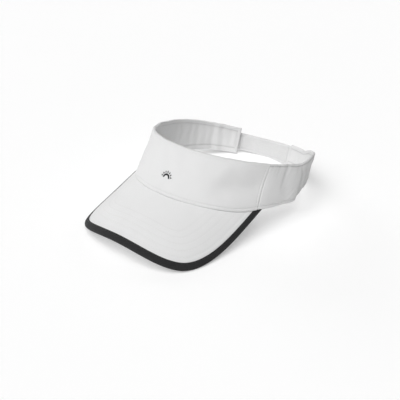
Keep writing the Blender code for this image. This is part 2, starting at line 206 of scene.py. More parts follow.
def oval(angle):
    """The band's outer edge seen from above: a point and its outward direction at an angle."""
    a = np.radians(angle)
    across, back = np.sin(a), -np.cos(a)
    power = np.where(back < 0, OVAL_POWER, 2.0)
    reach = np.where(back < 0, FRONT_REACH, HALF_WIDTH)
    x = HALF_WIDTH * np.sign(across) * np.abs(across) ** (2 / power)
    y = reach * np.sign(back) * np.abs(back) ** (2 / power)
    out_x = np.sign(x) * np.abs(x / HALF_WIDTH) ** (power - 1) / HALF_WIDTH
    out_y = np.sign(y) * np.abs(y / reach) ** (power - 1) / reach
    size = np.hypot(out_x, out_y)
    return x, y, out_x / size, out_y / size


def lean(angle):
    """How far the wall leans in, most at the front and not at all behind."""
    turned = np.abs((angle + 180) % 360 - 180)
    return np.radians(FRONT_LEAN) * np.cos(np.minimum(turned / UPRIGHT_FROM, 1.0) * math.pi / 2) ** 2


def wall(angle, height, depth):
    """A point of the band at an angle round it, a height up the wall and a depth in from its face."""
    x, y, out_x, out_y = oval(angle)
    tilt = lean(angle)
    inward = height * np.sin(tilt) + depth * np.cos(tilt)
    up = height * np.cos(tilt) - depth * np.sin(tilt)
    return np.stack([x - out_x * inward, y - out_y * inward, up], -1)


def arc_table():
    """Angles round the band, past the full turn that the strap needs, and the arc length at each."""
    angles = np.linspace(-260, 260, 5201)
    x, y, _, _ = oval(angles)
    length = np.concatenate([[0], np.cumsum(np.hypot(np.diff(x), np.diff(y)))])
    return angles, length - np.interp(0.0, angles, length)


ANGLES, ARCS = arc_table()


def arc(angle):
    """Distance round the band from the front, in millimetres."""
    return np.interp(angle, ANGLES, ARCS)


def angle_at(distance):
    return np.interp(distance, ARCS, ANGLES)


def top_edge(angle):
    forward = np.cos(np.radians(angle))
    return SIDE_HEIGHT + FRONT_RISE * forward * np.abs(forward) + steps(LEFT_CREST, angle)


def rear_hem(angle):
    return np.where(angle > 0, steps(LEFT_HEM, np.abs(angle)), steps(RIGHT_HEM, np.abs(angle)))


def side_seam(height):
    return SIDE_SEAM_FOOT + (SIDE_SEAM_TOP - SIDE_SEAM_FOOT) * height / SIDE_HEIGHT


# ---------- the bill's surface


def bill_height(x, forward):
    curl = np.maximum(forward, 0.0) ** 2 / (2 * BILL_FORWARD_RADIUS)
    arch = x**2 / (2 * BILL_ARCH_RADIUS) + BILL_ARCH_STEEPENING * x**4
    return -math.tan(math.radians(BILL_DROOP)) * forward - curl - arch - BILL_CORNER_DROOP * x**2 * forward


def bill_slopes(x, forward):
    across = -x / BILL_ARCH_RADIUS - 4 * BILL_ARCH_STEEPENING * x**3 - 2 * BILL_CORNER_DROOP * x * forward
    curl = np.maximum(forward, 0.0) / BILL_FORWARD_RADIUS
    ahead = -math.tan(math.radians(BILL_DROOP)) - curl - BILL_CORNER_DROOP * x**2
    return across, ahead


def bill(x, forward, depth):
    """A point of the bill, across, forward of the band and under the bill's upper face."""
    across, ahead = bill_slopes(x, forward)
    size = np.sqrt(1 + across**2 + ahead**2)
    base = np.stack([x, -FRONT_REACH - forward, bill_height(x, forward)], -1)
    normal = np.stack([-across / size, ahead / size, 1 / size], -1)
    return base - np.asarray(depth)[..., None] * normal


def height_on_bill(angle, wall_depth, bill_depth):
    """Height up the wall at which a layer of the wall meets a layer of the bill."""
    height = np.zeros(np.shape(angle))
    for _ in range(8):
        point = wall(angle, height, wall_depth)
        x, forward = point[..., 0], -FRONT_REACH - point[..., 1]
        across, ahead = bill_slopes(x, forward)
        level = bill_height(x, forward) - bill_depth * np.sqrt(1 + across**2 + ahead**2)
        height = height + (level - point[..., 2]) * 0.7
    return height


def seam_edge(angle):
    """Height of the front panel's foot, where its cloth meets the bill's top cover."""
    return height_on_bill(angle, CLOTH / 2, COVER / 2)


def bezier(a, b, c, d, count=60):
    t = np.linspace(0, 1, count)[:, None]
    return (1 - t) ** 3 * a + 3 * (1 - t) ** 2 * t * b + 3 * (1 - t) * t**2 * c + t**3 * d


def bill_outline():
    """The bill's outer edge from its left end round to its right end, as (across, forward) rows."""
    x, y, _, _ = oval(BILL_END)
    flare, turn = math.radians(BILL_SIDE_FLARE), math.radians(BILL_CORNER_ANGLE)
    end, corner, front = np.array([x, -y - FRONT_REACH]), np.array(BILL_CORNER), np.array([0.0, BILL_LENGTH])
    leaving = np.array([math.sin(flare), math.cos(flare)])
    turning = np.array([-math.sin(turn), math.cos(turn)])
    first, second, third, fourth = BILL_HANDLES
    side = bezier(end, end + leaving * first, corner - turning * second, corner)
    nose = bezier(corner, corner + turning * third, front + np.array([fourth, 0.0]), front)
    half = np.concatenate([side, nose[1:]])
    return np.concatenate([half, half[-2::-1] * [-1, 1]])


OUTLINE = bill_outline()
OUTLINE_AT = np.concatenate([[0], np.cumsum(np.linalg.norm(np.diff(OUTLINE, axis=0), axis=1))])
OUTLINE_LENGTH = OUTLINE_AT[-1]
HEADINGS = np.gradient(OUTLINE, OUTLINE_AT, axis=0)
HEADINGS /= np.linalg.norm(HEADINGS, axis=1)[:, None]


def outline_point(distance, inset):
    """(across, forward) a given surface distance in from the edge, at a distance round it."""
    point = np.stack([np.interp(distance, OUTLINE_AT, OUTLINE[:, i]) for i in (0, 1)], -1)
    heading = np.stack([np.interp(distance, OUTLINE_AT, HEADINGS[:, i]) for i in (0, 1)], -1)
    inward = np.stack([-heading[..., 1], heading[..., 0]], -1)
    half_way = point + inward * np.asarray(inset)[..., None] / 2
    across, ahead = bill_slopes(half_way[..., 0], half_way[..., 1])
    slope = across * inward[..., 0] + ahead * inward[..., 1]
    return point + inward * (np.asarray(inset) / np.sqrt(1 + slope**2))[..., None]


def from_edge(x, forward):
    """Surface distance in from the bill's edge."""
    step = OUTLINE[None, :, :] - np.stack([x, forward], -1).reshape(-1, 1, 2)
    flat = np.hypot(step[..., 0], step[..., 1])
    near = flat.argmin(1)
    way = step[np.arange(len(near)), near]
    size = np.maximum(flat[np.arange(len(near)), near], 1e-9)
    across, ahead = bill_slopes(np.ravel(x), np.ravel(forward))
    slope = (across * way[:, 0] + ahead * way[:, 1]) / size
    return (size * np.sqrt(1 + slope**2)).reshape(np.shape(x))


def band_clearance(point):
    """Roughly how far outside the band's outer face a bill point is."""
    x, y = point[..., 0], -FRONT_REACH - point[..., 1]
    across, ahead = np.abs(x / HALF_WIDTH), np.abs(np.minimum(y, 0) / FRONT_REACH)
    share = (across**OVAL_POWER + ahead**OVAL_POWER) ** (1 / OVAL_POWER)
    return (share - 1) * MEAN_RADIUS


def exit_distance(inset, clearance):
    """Distance round the edge at which a line at that inset comes out from under the band."""
    distance = np.linspace(0, 90, 901)
    clear = band_clearance(outline_point(distance, np.full(901, float(inset)))) > clearance
    return distance[np.argmax(clear)]


# ---------- relief of the cloth

REAR_CREASE = 58.0  # how far behind the side seam the rear panel's upright crease lies


def crown_folds(s, height):
    """The front panel's shallow dents, the deeper one towards the wearer's left."""
    low = 17.0 + 0.15 * (s - 46)
    high = low + 8.0 + 10.5 * ease((s - 42) / 34)
    depth = 0.155 * (high - low) * between(s, 40, 28, 98, 22)
    wall_in = ease((high + 1.5 - height) / (high + 1.5 - low))
    back_out = 1 - ease((low - height) / (np.maximum(low, 6.0) - 3.0))
    dent = depth * (wall_in * back_out - 0.22 * hill(height, high + 5.0, 4.5))
    right = between(-s, 20, 30, 85, 16)
    return dent + 0.7 * right * hill(height, 27 - 0.1 * s, 9.0)


def rear_folds(s, height, left):
    """The big folds of a rear panel; s runs back from the side seam, and left is 1 or 0."""
    down = SIDE_HEIGHT - 0.3 - height
    crease = s - REAR_CREASE + 6.0 * ease((height - 33) / 12)
    sharp = 1.7 * hill(crease, 0.5, 3.0) - 1.1 * hill(crease, -13.0, 11.0)
    sharp = (sharp + 1.6 * between(crease, 2, 14, 30, 30)) * (1 - 0.85 * ease((height - 40) / 7))
    slack = 0.7 * hill(s - 0.35 * down, 22.0, 6.0) - 0.6 * hill(height, 15.0, 6.0) * between(s, 8, 25, 48, 15)
    low = 0.45 * ripple(s - 1.1 * height, 2.0, (12.0, 8.5)) * hill(height, 17.0, 7.0)
    low = low * between(s, 30, 15, 75, 15)
    far = (0.7 - 0.35 * left) * ripple(s - 0.25 * down, 3.0 + left, (25.0, 16.0, 11.0)) * ease((s - 68) / 15)
    far = far * (1 - 0.8 * left * ease((height - 36) / 10))
    return (0.35 + 0.65 * left) * sharp + slack + low * left + far


def soft_relief(angle, height):
    """How far the band sinks in from its smooth wall, alike in every layer."""
    s = arc(angle)
    behind = np.abs(s) - arc(side_seam(height))
    sway = 0.25 * ripple(s + 0.6 * height, 2.0, (61.0, 43.0, 29.0))
    rear = rear_folds(behind, height, np.where(angle > 0, 1.0, 0.0)) * ease(behind / 8)
    edges = ease((height + 2) / 10)
    return (crown_folds(s, height) + sway + rear) * edges


def front_relief(angle, height, foot, top):
    """The front panel's seams: sunken stitch lines, puckers by the bill and rolled side edges.

    Returns how far the outer face sinks and how much painted shade darkens it, from 0 to 1.
    """
    s = arc(angle)
    up = height - foot
    edge = arc(side_seam(height)) - np.abs(s)
    down = top - height
    groove = 0.34 * hill(up, FOOT_STITCH, 0.5) + 0.2 * hill(edge, SIDE_STITCH, 0.45)
    groove = groove + 0.08 * hill(down, 3.0, 0.6)
    roll = -0.20 * hill(up, 1.5, 1.2) + 0.6 * hill(edge, 0.0, 0.5)
    roll = roll - 0.14 * hill(edge, 1.5, 0.8) - 0.12 * hill(down, 1.4, 1.0)
    pucker = 0.13 * ripple(s, 1.0, (5.3, 3.7, 7.9)) * np.exp(-np.abs(up - 3.4) / 2.5)
    side = 0.12 * ripple(height, 4.0, (4.1, 2.9, 6.3)) * np.exp(-np.abs(edge - 2.5) / 2.0)
    side = side * ease((40 - height) / 30)
    # Painted shade: darker along the stitch lines, the rolled side edge and the top fold, and most of all
    # along the join with the bill, more so towards the sides.
    join = 0.25 + 0.5 * ease((np.abs(s) - 45) / 20)
    painted_shade = 0.2 * hill(up, FOOT_STITCH, 0.5) + join * hill(up, -0.1, 0.7)
    painted_shade = painted_shade + 0.3 * hill(edge, 0.0, 0.5) + 0.12 * hill(edge, SIDE_STITCH, 0.4)
    return groove + roll + pucker + side, painted_shade + 0.3 * hill(down, 0.1, 0.9)


# Gathers under a rear panel's top edge: place behind the side seam, depth, width and length down.
GATHERS = (
    (4.5, 0.30, 1.2, 6.0),
    (9.8, 0.55, 1.3, 9.0),
    (14.0, 0.70, 1.4, 10.0),
    (26.0, 0.95, 2.0, 19.0),
    (33.0, 0.40, 1.6, 9.0),
    (43.0, 0.40, 2.0, 11.0),
)


def rear_relief(angle, height, foot, top):
    """A rear panel's gathers, puckers, rolled rim and stitched hem, returned as front_relief does."""
    s = np.abs(arc(angle)) - arc(side_seam(height))
    down, up = top - height, height - foot
    roll = 0.6 * hill(s, 0.0, 0.7)
    gathers = 0
    for place, size, width, long in GATHERS:
        gathers = gathers + size * hill(s + 0.04 * down, place, width) * np.exp(-((down / long) ** 2))
    swell = -0.35 * hill(s, 20.5, 2.6) * np.exp(-((down / 18) ** 2))
    puckers = 0.20 * ripple(s + 0.6 * up, 5.0, (4.3, 5.9)) * np.exp(-up / 6) * ease(s / 3)
    corner = 0.22 * ripple(s + 0.9 * up, 1.0, (3.6, 5.2)) * np.exp(-s / 7) * np.exp(-up / 12)
    tops = 0.10 * ripple(s, 7.0, (4.3, 6.1, 8.7)) * np.exp(-down / 5)
    rim = 0.55 * hill(down, 1.9, 0.5) - 0.12 * hill(down, 0.7, 0.7)
    hem = 0.26 * hill(up, FOOT_STITCH, 0.55) - 0.15 * hill(up, 1.6, 1.0)
    # Painted shade under the rim, along the hem stitches, at the side seam and in the gathers.
    painted_shade = 0.6 * hill(down, 1.95, 0.6) + 0.2 * hill(up, 3.5, 0.6) + 0.3 * hill(s, 0.2, 0.5) + 0.3 * gathers
    # Painted shade over the left rear panel's far part and along its upright crease, where the folds turn
    # away from the light.
    shaded = 0.26 * between(s, 46, 14, 84, 26)
    shaded = shaded + 0.15 * hill(s, REAR_CREASE - 1.0, 3.0) * ease((down - 5) / 10)
    folds = roll + (gathers + swell) * ease(s / 4) + puckers + corner + tops
    return folds + (rim + hem) * ease((s + 0.3) / 1.2), painted_shade + shaded * (angle > 0)


def leg_relief(up, down):
    """The hem legs inside the band: how far their pressed and stitched lines stand back."""
    return 0.32 * hill(up, 2.1, 0.4) + 0.22 * hill(down, 2.3, 0.4)


def bill_relief(x, forward, edge):
    """Stitch rows that follow the bill's edge, with the cover slightly raised between them."""
    rows = sum(0.09 * hill(edge, row, 0.6) for row in STITCH_ROWS)
    puffed = (edge > STITCH_ROWS[0] - STITCH_PITCH / 2) * (edge < STITCH_ROWS[-1] + STITCH_PITCH / 2)
    puff = 0.03 * np.cos(2 * math.pi * (edge - STITCH_ROWS[0]) / STITCH_PITCH) * puffed
    soft = 0.25 * ripple(x + 0.4 * forward, 4.0, (47.0, 31.0, 71.0))
    return rows + puff + soft


# ---------- Blender helpers


def tip_matrix():
    """From the band's frame, in millimetres, to the world."""
    joint = next(j for j in frame["joints"] if j["name"] == "left_rear_flex")
    _, back, up = joint["axis"]
    _, y, z = joint["pos_m"]
    tipped = Matrix.Rotation(-math.atan2(back, up), 4, "X")
    return Matrix.Translation((0, y, z)) @ tipped @ Matrix.Scale(MM, 4)


def to_world(points):
    m = np.array(TIP)
    return np.asarray(points) @ m[:3, :3].T + m[:3, 3]


def mesh_object(name, points, faces):
    """A smooth-shaded object from points in the band's frame."""
    mesh = bpy.data.meshes.new(name)
    mesh.from_pydata(to_world(points.reshape(-1, 3)).tolist(), [], faces)
    mesh.shade_smooth()
    obj = bpy.data.objects.new(name, mesh)
    bpy.context.scene.collection.objects.link(obj)
    return obj


def sheet(name, points, uv, thickness, painted_shade=None):
    """A sheet, thick to both sides of a rows x columns x 3 array of points, with a UV map in millimetres and,
    if given, painted shade per point that darkens its colour.
    """
    rows, columns = points.shape[:2]
    index = np.arange(rows * columns).reshape(rows, columns)
    a, b, c, d = index[:-1, :-1], index[:-1, 1:], index[1:, 1:], index[1:, :-1]
    faces = np.stack([a, b, c, d], -1).reshape(-1, 4)
    obj = mesh_object(name, points, faces.tolist())
    layer = obj.data.uv_layers.new(name="cloth")
    layer.data.foreach_set("uv", uv.reshape(-1, 2)[faces.ravel()].ravel().astype(np.float32))
    # Painted shade, 0 to 1 per point, stored on the mesh to darken the cloth's colour.
    if painted_shade is not None:
        values = np.clip(painted_shade, 0, 1).ravel().astype(np.float32)
        obj.data.attributes.new("painted_shade", "FLOAT", "POINT").data.foreach_set("value", values)
    solidify = obj.modifiers.new("thickness", "SOLIDIFY")
    solidify.thickness = thickness * MM
    solidify.offset = 0.0
    solidify.use_even_offset = True
    return obj


def dress(obj, look, slot, *nodes):
    """Gives a piece its material, and hides the CAD nodes that it stands for; the slot is not used."""
    obj.data.materials.append(look)
    if nodes:
        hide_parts(*nodes)


def flex_with(obj):
    """Bakes the piece's placing into its mesh."""
    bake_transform(obj)


# ---------- threads

THREAD_SIDES = 5
# Rings along a thread: share of its length, share of its width, and lift in thicknesses.
THREAD_RINGS = ((0.0, 0.45, -0.45), (0.2, 1.0, 0.15), (0.8, 1.0, 0.15), (1.0, 0.45, -0.45))


def threads(name, runs, look, thickness=THREAD, slot="white_cloth"):
    """One mesh of many short, tapered threads, from runs of (n, 2, 3) ends and (n, 3) outward directions."""
    ends = np.concatenate([run[0] for run in runs])
    outs = np.concatenate([run[1] for run in runs])
    start, stop = ends[:, 0], ends[:, 1]
    along = stop - start
    along /= np.linalg.norm(along, axis=1)[:, None]
    side = np.cross(along, outs)
    side /= np.linalg.norm(side, axis=1)[:, None]
    up = np.cross(side, along)
    rings = []
    for share, width, lift in THREAD_RINGS:
        middle = start + (stop - start) * share + up * (lift * thickness)
        radius = thickness / 2 * width
        for turn in np.arange(THREAD_SIDES) * 2 * math.pi / THREAD_SIDES:
            rings.append(middle + side * (radius * math.cos(turn)) + up * (radius * math.sin(turn)))
    per = len(rings)
    one = [list(range(THREAD_SIDES - 1, -1, -1)), list(range(per - THREAD_SIDES, per))]
    for r in range(0, per - THREAD_SIDES, THREAD_SIDES):
        for t in range(THREAD_SIDES):
            a, b = r + t, r + (t + 1) % THREAD_SIDES
            one.append([a, b, b + THREAD_SIDES, a + THREAD_SIDES])
    faces = [[i * per + v for v in face] for i in range(len(start)) for face in one]
    obj = mesh_object(name, np.stack(rings, 1), faces)
    dress(obj, look, slot)
    return obj


def stitches(line, outs, pitch=3.0, length=2.3):
    """Thread ends along a finely sampled line of points."""
    at = np.concatenate([[0], np.cumsum(np.linalg.norm(np.diff(line, axis=0), axis=1))])
    starts = np.arange(pitch / 2, at[-1] - length, pitch)

    def sample(values, where):
        return np.stack([np.interp(where, at, values[:, i]) for i in range(3)], -1)

    ends = np.stack([sample(line, starts), sample(line, starts + length)], 1)
    return ends, sample(outs, starts + length / 2)


def wall_line(angle, height, depth):
    """A line on the band, with its outward directions."""
    points = wall(angle, height, depth)
    return points, points - wall(angle, height, depth + 1.0)


def inner_line(angle, height, depth):
    """A line on the band's inner side, whose threads stand in towards the head."""
    points = wall(angle, height, depth)
    return points, points - wall(angle, height, depth - 1.0)


# ---------- materials


def shader_for(name, colour, roughness, sheen=0.0):
    made = bpy.data.materials.new(name)
    made.use_nodes = True
    shader = made.node_tree.nodes["Principled BSDF"]
    shader.inputs["Base Color"].default_value = (*colour, 1.0)
    shader.inputs["Roughness"].default_value = roughness
    shader.inputs["Specular IOR Level"].default_value = 0.25
    shader.inputs["Sheen Weight"].default_value = sheen
    shader.inputs["Sheen Roughness"].default_value = 0.5
    return made, made.node_tree, shader


def node(tree, kind, **values):
    made = tree.nodes.new(kind)
    for name, value in values.items():
        if name in made.inputs.keys():
            made.inputs[name].default_value = value
        else:
            setattr(made, name, value)
    return made


def maths(tree, operation, a, b=None):
    made = tree.nodes.new("ShaderNodeMath")
    made.operation = operation
    for socket, value in zip(made.inputs, (a, b)):
        if isinstance(value, (int, float)):
            socket.default_value = value
        elif value is not None:
            tree.links.new(value, socket)
    return made.outputs[0]


def scaled(tree, value, factor, plus=0.0):
    """A socket's value times a factor, plus a number."""
    product = maths(tree, "MULTIPLY", value, factor)
    return maths(tree, "ADD", product, plus) if plus else product


def pattern(tree, place, kind, **values):
    """A texture node laid out along a set of coordinates."""
    made = node(tree, kind, **values)
    tree.links.new(place, made.inputs["Vector"])
    return made


def finish_look(tree, shader, colour, level, relief, strength, distance):
    """Scales the colour by a level, and raises the surface by a relief over a distance in millimetres."""
    bump = node(tree, "ShaderNodeBump", Strength=strength, Distance=distance * MM)
    tree.links.new(relief, bump.inputs["Height"])
    tree.links.new(bump.outputs[0], shader.inputs["Normal"])
    tinted = node(tree, "ShaderNodeVectorMath", operation="SCALE")
    tinted.inputs[0].default_value = colour
    tree.links.new(level, tinted.inputs["Scale"])
    tree.links.new(tinted.outputs[0], shader.inputs["Base Color"])


def woven(name, colour, roughness, pitch, twill, sheen=0.12, depth=0.12, tint=0.05, mottle=0.04):
    """Cloth with a weave laid out along its own UV map, its colour darkened by the painted shade that each
    sheet carries in seams, creases and joins.
    """
    made, tree, shader = shader_for(name, colour, roughness, sheen)
    uv = node(tree, "ShaderNodeUVMap", uv_map="cloth").outputs[0]
    parts = node(tree, "ShaderNodeSeparateXYZ")
    tree.links.new(uv, parts.inputs[0])
    x, y = parts.outputs[0], parts.outputs[1]
    turn = 2 * math.pi / pitch
    if twill:
        rib = maths(tree, "SINE", scaled(tree, maths(tree, "ADD", x, y), turn * 0.7071))
        yarn = maths(tree, "SINE", scaled(tree, y, turn * 2.1))
        weave = maths(tree, "ADD", scaled(tree, rib, 0.7), scaled(tree, yarn, 0.3))
    else:
        weft = maths(tree, "SINE", scaled(tree, x, turn))
        warp = maths(tree, "SINE", scaled(tree, y, turn))
        weave = maths(tree, "MULTIPLY", weft, warp)
    slub = pattern(tree, uv, "ShaderNodeTexNoise", Scale=1.1, Detail=3.0, Roughness=0.65).outputs["Fac"]
    cloud = pattern(tree, uv, "ShaderNodeTexNoise", Scale=0.06, Detail=2.0).outputs["Fac"]
    relief = maths(tree, "ADD", scaled(tree, weave, 0.5), scaled(tree, slub, 1.1))
    shade = maths(tree, "ADD", scaled(tree, weave, tint), scaled(tree, slub, tint))
    shade = maths(tree, "ADD", shade, scaled(tree, cloud, mottle))
    level = maths(tree, "ADD", shade, 1.0 - tint / 2 - mottle / 2)
    # Painted shade: the sheet's stored shade darkens the colour by up to half.
    painted_shade = node(tree, "ShaderNodeAttribute", attribute_name="painted_shade").outputs["Fac"]
    level = maths(tree, "MULTIPLY", level, maths(tree, "SUBTRACT", 1.0, scaled(tree, painted_shade, 0.5)))
    finish_look(tree, shader, colour, level, relief, 0.55, depth)
    return made


def thread_look(name, colour):
    """Twisted thread: fine uneven shading in the piece's own space."""
    made, tree, shader = shader_for(name, colour, 0.6, 0.2)
    place = node(tree, "ShaderNodeTexCoord").outputs["Object"]
    twist = pattern(tree, place, "ShaderNodeTexNoise", Scale=2500.0, Detail=1.0).outputs["Fac"]
    finish_look(tree, shader, colour, scaled(tree, twist, 0.3, 0.85), twist, 0.4, 0.08)
    return made


def pile_look(name, colour, scale, depth):
    """Hook or loop tape: a dense pile."""
    made, tree, shader = shader_for(name, colour, 0.8, 0.3)
    uv = node(tree, "ShaderNodeUVMap", uv_map="cloth").outputs[0]
    cells = pattern(tree, uv, "ShaderNodeTexVoronoi", Scale=scale, Randomness=0.6).outputs["Distance"]
    fuzz = pattern(tree, uv, "ShaderNodeTexNoise", Scale=scale * 1.7, Detail=3.0).outputs["Fac"]
    relief = maths(tree, "SUBTRACT", fuzz, cells)
    finish_look(tree, shader, colour, scaled(tree, relief, 0.18, 0.92), relief, 0.8, depth)
    return made


def plastic_look(name, colour):
    """Moulded sheet plastic with a faint pebbled skin."""
    made, tree, shader = shader_for(name, colour, 0.45)
    place = node(tree, "ShaderNodeTexCoord").outputs["Object"]
    pebble = pattern(tree, place, "ShaderNodeTexNoise", Scale=900.0, Detail=2.0).outputs["Fac"]
    cloud = pattern(tree, place, "ShaderNodeTexNoise", Scale=40.0, Detail=2.0).outputs["Fac"]
    finish_look(tree, shader, colour, scaled(tree, cloud, 0.08, 0.96), pebble, 0.3, 0.05)
    return made


# ---------- the band's pieces

RIGHT_CLOTH_END = float(angle_at(arc(RIGHT_END) - 1.6))


def spaced(length, spacing, fine=4.0):
    """Shares from 0 to 1 along a length, closer together near both ends."""
    near = np.array([0.0, 0.25, 0.5, 0.75, 1.0, 1.3, 1.6, 1.9, 2.3, 2.7, 3.1, 3.5])
    near = near[near < fine - 0.2]
    middle = np.linspace(fine, length - fine, max(2, int((length - 2 * fine) / spacing)))
    return np.concatenate([near, middle, length - near[::-1]]) / length


def hem_section(leg_depth, leg, middle_rows, foot_leg_depth, foot_leg):
    """Rows of a panel's section, from the inner foot round the outside to the inner top.

    Each row is (share of foot, share of top, offset up, depth, share of outer face).
    """
    outer = CLOTH / 2
    rows = []
    radius = (foot_leg_depth - outer) / 2
    top_radius = (leg_depth - outer) / 2
    for share in np.linspace(1, 0, 12)[:-1]:
        rows.append((1.0, 0.0, radius + (foot_leg - radius) * share, foot_leg_depth, 0.0))
    for turn in np.linspace(0, math.pi, 7):
        up, depth = radius * (1 - math.sin(turn)), outer + radius * (1 + math.cos(turn))
        rows.append((1.0, 0.0, up, depth, turn / math.pi))
    for q in spaced(50.0, 50.0 / middle_rows)[1:-1]:
        rows.append((1 - q, q, radius * (1 - q) - top_radius * q, outer, 1.0))
    for turn in np.linspace(0, math.pi, 9):
        up, depth = -top_radius * (1 - math.sin(turn)), outer + top_radius * (1 - math.cos(turn))
        rows.append((0.0, 1.0, up, depth, 1 - turn / math.pi))
    for share in np.linspace(0, 1, 9)[1:]:
        rows.append((0.0, 1.0, -(top_radius + (leg - top_radius) * share), leg_depth, 0.0))
    return np.array(rows)


def panel_points(section, shares, start, end, foot, relief):
    """Points, cloth coordinates and painted shade of a panel whose edges run from start(height) to
    end(height).
    """
    low_share, top_share, offset, depth, outer = (section[:, i][:, None] for i in range(5))
    c = shares[None, :]
    angle = start(MID_HEIGHT) * (1 - c) + end(MID_HEIGHT) * c + 0 * offset
    for _ in range(4):
        height = low_share * foot(angle) + top_share * top_edge(angle) + offset
        angle = start(height) * (1 - c) + end(height) * c
    low, high = foot(angle), top_edge(angle)
    sunk, painted_shade = relief(angle, height, low, high)
    sink = soft_relief(angle, height) + outer * sunk - (1 - outer) * leg_relief(height - low, high - height)
    wave = 0.25 * ripple(arc(angle), 9.0, (37.0, 23.0, 13.0)) * top_share * (offset <= 0)
    points = wall(angle, height + wave, depth + sink)
    rolled = np.concatenate([[0], np.cumsum(np.abs(np.diff(height[:, height.shape[1] // 2])) + 0.3)])
    uv = np.stack([arc(angle), np.broadcast_to(rolled[:, None], angle.shape)], -1)
    return points, uv, painted_shade * outer


def flat_cloth(angle, height):
    """Cloth coordinates of a sheet on the band: along it and up it, in millimetres."""
    return np.stack([arc(angle) + 0 * height, height], -1)


def sheet_grid(angle, foot, top, rows):
    """Angles, heights and shares of the way up, for rows between two heights along given angles."""
    share = np.linspace(0, 1, rows)[:, None]
    return angle[None, :], foot(angle[None, :]) * (1 - share) + top(angle[None, :]) * share, share


def build_front(looks):
    section = hem_section(FRONT_FOLD_DEPTH, 3.5, 36, FRONT_FOOT_DEPTH, 2.5)
    shares = spaced(2 * arc(SIDE_SEAM_FOOT), 1.5)
    edges = (lambda h: -side_seam(h), side_seam)
    points, uv, painted_shade = panel_points(section, shares, *edges, seam_edge, front_relief)
    panel = sheet("front_panel_cloth", points, uv, CLOTH, painted_shade)
    dress(panel, looks["twill"], "white_cloth", "front_panel")
    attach(panel, "crown_and_bill")

    def stitched(angle, height):
        sink = soft_relief(angle, height) + front_relief(angle, height, seam_edge(angle), top_edge(angle))[0]
        return stitches(*wall_line(angle, height, sink - SUNK_IN))

    angle = np.linspace(-SIDE_SEAM_FOOT + 0.8, SIDE_SEAM_FOOT - 0.8, 700)
    runs = [stitched(angle, seam_edge(angle) + FOOT_STITCH)]
    for side in (-1, 1):
        height = np.linspace(float(seam_edge(np.array(SIDE_SEAM_FOOT))) + 4.0, SIDE_HEIGHT - 0.5, 200)
        runs.append(stitched(side * angle_at(arc(side_seam(height)) - SIDE_STITCH), height))
    angle = np.linspace(-SIDE_SEAM_TOP + 1, SIDE_SEAM_TOP - 1, 700)
    height = top_edge(angle) - FRONT_RIM_STITCH
    runs.append(stitches(*inner_line(angle, height, FRONT_FOLD_DEPTH + 0.35 + soft_relief(angle, height))))
    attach(threads("front_stitching", runs, looks["thread"]), "crown_and_bill")

    across = np.linspace(-66.0, 66.0, 170)
    angle, height, _ = sheet_grid(across, lambda a: seam_edge(a) + 0.2, lambda a: top_edge(a) - 2.5, 30)
    sink = soft_relief(angle, height) + 0.12 * ripple(arc(angle), 6.0, (17.0, 11.0, 7.0))
    # Painted shade just below the edge of the hem leg that overlaps the facing's top.
    painted_shade = 0.5 * hill(top_edge(angle) - height, 3.4, 1.0)
    points = wall(angle, height, FACING_DEPTH + sink)
    facing = sheet("front_sweatband_cloth", points, flat_cloth(angle, height), FRONT_FACING, painted_shade)
    dress(facing, looks["facing"], "lining_cloth", "front_sweatband")
    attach(facing, "crown_and_bill")

    across = across[::2] * 0.93
    angle, height, _ = sheet_grid(across, lambda a: seam_edge(a) + 5.0, lambda a: top_edge(a) - 3.0, 30)
    height = height[::2]  # every other row, so that the interlining stops below the facing's top
    points = wall(angle, height, INTERLINING_DEPTH + soft_relief(angle, height))
    stiffener = sheet("front_interlining_cloth", points, flat_cloth(angle, height), INTERLINING)
    dress(stiffener, looks["facing"], "lining_cloth", "front_interlining")
    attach(stiffener, "crown_and_bill")


def rear_stitching(side, first, last, height_at):
    """Stitches through the outer cloth and the hem leg behind it, along a rear panel."""
    angle = side * np.linspace(first, last, 500)
    foot, top = rear_hem(angle), top_edge(angle)
    height = height_at(foot, top)
    sink = soft_relief(angle, height)
    outside = sink + rear_relief(angle, height, foot, top)[0]
    inside = REAR_FOLD_DEPTH + 0.35 + sink
    return [
        stitches(*wall_line(angle, height, outside - SUNK_IN)),
        stitches(*inner_line(angle, height, inside)),
    ]


